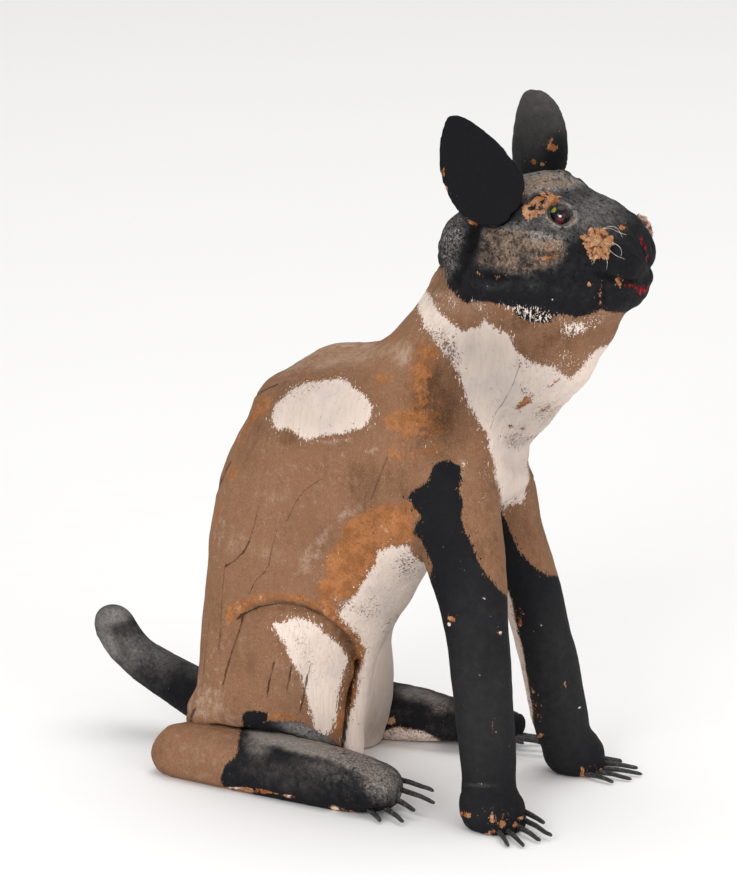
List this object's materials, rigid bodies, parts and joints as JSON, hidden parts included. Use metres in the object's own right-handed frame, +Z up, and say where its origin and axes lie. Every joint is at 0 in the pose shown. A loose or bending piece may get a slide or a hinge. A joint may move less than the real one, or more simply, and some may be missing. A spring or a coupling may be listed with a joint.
{
  "type": "carved wooden cat sculpture",
  "caption": "Seated cat carved from a log and painted, with let-in ears and tail, separate hind feet, glass marble eyes, peg claws and whisker pads.",
  "frame": {"origin": "on the flat underside of the trunk, on the ground, on the middle plane", "axes": "+X the way the cat faces, +Y its left side, +Z up"},
  "size_m": [0.5046, 0.2704, 0.558],
  "materials": {
    "carved_wood": "carved log with matt earth paint, brown, white and black, worn to orange-brown bare wood",
    "ear_wood": "matt black paint",
    "tail_wood": "matt charcoal paint, dusty",
    "foot_wood": "matt black paint, brown at the heel, chipped along the sole",
    "claw_wood": "black, slightly waxy",
    "eye_glass": "polished dark glass marble, opaque",
    "whisker_gum": "crumbly orange-tan resin with fine pale fibres"
  },
  "bodies": {
    "root": {"body": "carved_wood", "ear_right": "ear_wood", "ear_left": "ear_wood", "tail": "tail_wood", "hind_foot_right": "foot_wood", "hind_foot_left": "foot_wood", "eye_right": "eye_glass", "eye_left": "eye_glass", "whisker_pad_right": "whisker_gum", "whisker_pad_left": "whisker_gum", "claw_fore_right_1": "claw_wood", "claw_fore_right_2": "claw_wood", "claw_fore_right_3": "claw_wood", "claw_fore_right_4": "claw_wood", "claw_fore_right_5": "claw_wood", "claw_fore_left_1": "claw_wood", "claw_fore_left_2": "claw_wood", "claw_fore_left_3": "claw_wood", "claw_fore_left_4": "claw_wood", "claw_fore_left_5": "claw_wood", "claw_hind_right_1": "claw_wood", "claw_hind_right_2": "claw_wood", "claw_hind_right_3": "claw_wood", "claw_hind_right_4": "claw_wood", "claw_hind_right_5": "claw_wood", "claw_hind_left_1": "claw_wood", "claw_hind_left_2": "claw_wood", "claw_hind_left_3": "claw_wood", "claw_hind_left_4": "claw_wood", "claw_hind_left_5": "claw_wood"}
  },
  "joints": []
}
